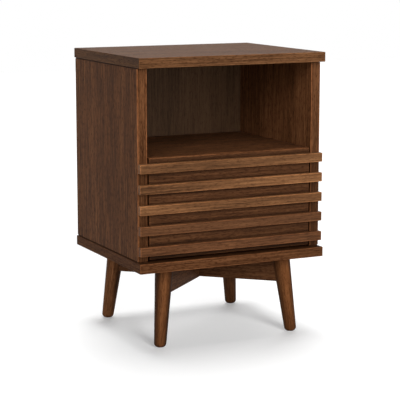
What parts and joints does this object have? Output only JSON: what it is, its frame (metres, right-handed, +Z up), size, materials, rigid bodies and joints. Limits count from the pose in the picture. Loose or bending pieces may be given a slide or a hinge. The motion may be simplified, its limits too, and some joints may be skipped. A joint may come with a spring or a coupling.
{
  "type": "nightstand",
  "caption": "Walnut nightstand with an open cubby above a slat-fronted drawer on roller runners, standing on splayed round legs tied by a cross brace.",
  "frame": {"origin": "on the floor, under the middle of the top", "axes": "+Z up, the drawer opens towards -Y, +X to the right of someone facing the drawer"},
  "size_m": [0.457, 0.378, 0.645],
  "materials": {
    "walnut": "satin lacquered walnut",
    "drawer_box_wood": "sealed, stained walnut tone",
    "thin_board": "walnut-veneered thin board",
    "dowel_beech": "bare beech",
    "runner_steel": "dark epoxy coat",
    "runner_nylon": "natural nylon",
    "zinc_steel": "zinc plated",
    "insert_brass": "turned brass"
  },
  "bodies": {
    "carcass": {"back_left_leg": "walnut", "back_panel": "thin_board", "back_right_leg": "walnut", "bottom_panel": "walnut", "brace_dowels": "dowel_beech", "brace_screws": "zinc_steel", "cabinet_rail_screws": "zinc_steel", "cabinet_rivets": "zinc_steel", "front_left_leg": "walnut", "front_right_leg": "walnut", "left_cabinet_rail": "runner_steel", "left_cross_bar": "walnut", "left_side_panel": "walnut", "leg_bolts": "zinc_steel", "leg_inserts": "insert_brass", "panel_dowels": "dowel_beech", "right_cabinet_rail": "runner_steel", "right_cross_bar": "walnut", "right_side_panel": "walnut", "shelf": "walnut", "shelf_dowels": "dowel_beech", "top_panel": "walnut"},
    "drawer": {"drawer_front": "walnut", "drawer_left_side": "drawer_box_wood", "drawer_right_side": "drawer_box_wood", "drawer_back": "drawer_box_wood", "drawer_bottom": "thin_board", "drawer_dowels": "dowel_beech", "slat_screws": "zinc_steel", "left_drawer_rail": "runner_steel", "right_drawer_rail": "runner_steel", "drawer_rail_screws": "zinc_steel", "drawer_rivets": "zinc_steel", "drawer_slat_1": "walnut", "drawer_slat_2": "walnut", "drawer_slat_3": "walnut", "drawer_slat_4": "walnut", "drawer_slat_5": "walnut"},
    "left_cabinet_roller": {"left_cabinet_roller": "runner_nylon"},
    "right_cabinet_roller": {"right_cabinet_roller": "runner_nylon"},
    "left_drawer_roller": {"left_drawer_roller": "runner_nylon"},
    "right_drawer_roller": {"right_drawer_roller": "runner_nylon"}
  },
  "joints": [
    {"name": "drawer_slide", "type": "slide", "parent": "carcass", "child": "drawer", "axis": [0, -1, 0], "range_m": [0, 0.225]},
    {"name": "left_cabinet_roller_spin", "type": "hinge", "parent": "carcass", "child": "left_cabinet_roller", "pos_m": [-0.1964, -0.1442, 0.2279], "axis": [1, 0, 0], "range_deg": [0, 1440]},
    {"name": "left_drawer_roller_spin", "type": "hinge", "parent": "drawer", "child": "left_drawer_roller", "pos_m": [-0.1971, 0.1308, 0.2253], "axis": [1, 0, 0], "range_deg": [0, 1440]},
    {"name": "right_cabinet_roller_spin", "type": "hinge", "parent": "carcass", "child": "right_cabinet_roller", "pos_m": [0.1964, -0.1442, 0.2279], "axis": [1, 0, 0], "range_deg": [0, 1440]},
    {"name": "right_drawer_roller_spin", "type": "hinge", "parent": "drawer", "child": "right_drawer_roller", "pos_m": [0.1971, 0.1308, 0.2253], "axis": [1, 0, 0], "range_deg": [0, 1440]}
  ],
  "couplings": [
    {"joint": "left_cabinet_roller_spin", "follows": "drawer_slide", "rad_per_m": 111.11},
    {"joint": "left_drawer_roller_spin", "follows": "drawer_slide", "rad_per_m": 111.11},
    {"joint": "right_cabinet_roller_spin", "follows": "drawer_slide", "rad_per_m": 111.11},
    {"joint": "right_drawer_roller_spin", "follows": "drawer_slide", "rad_per_m": 111.11}
  ]
}
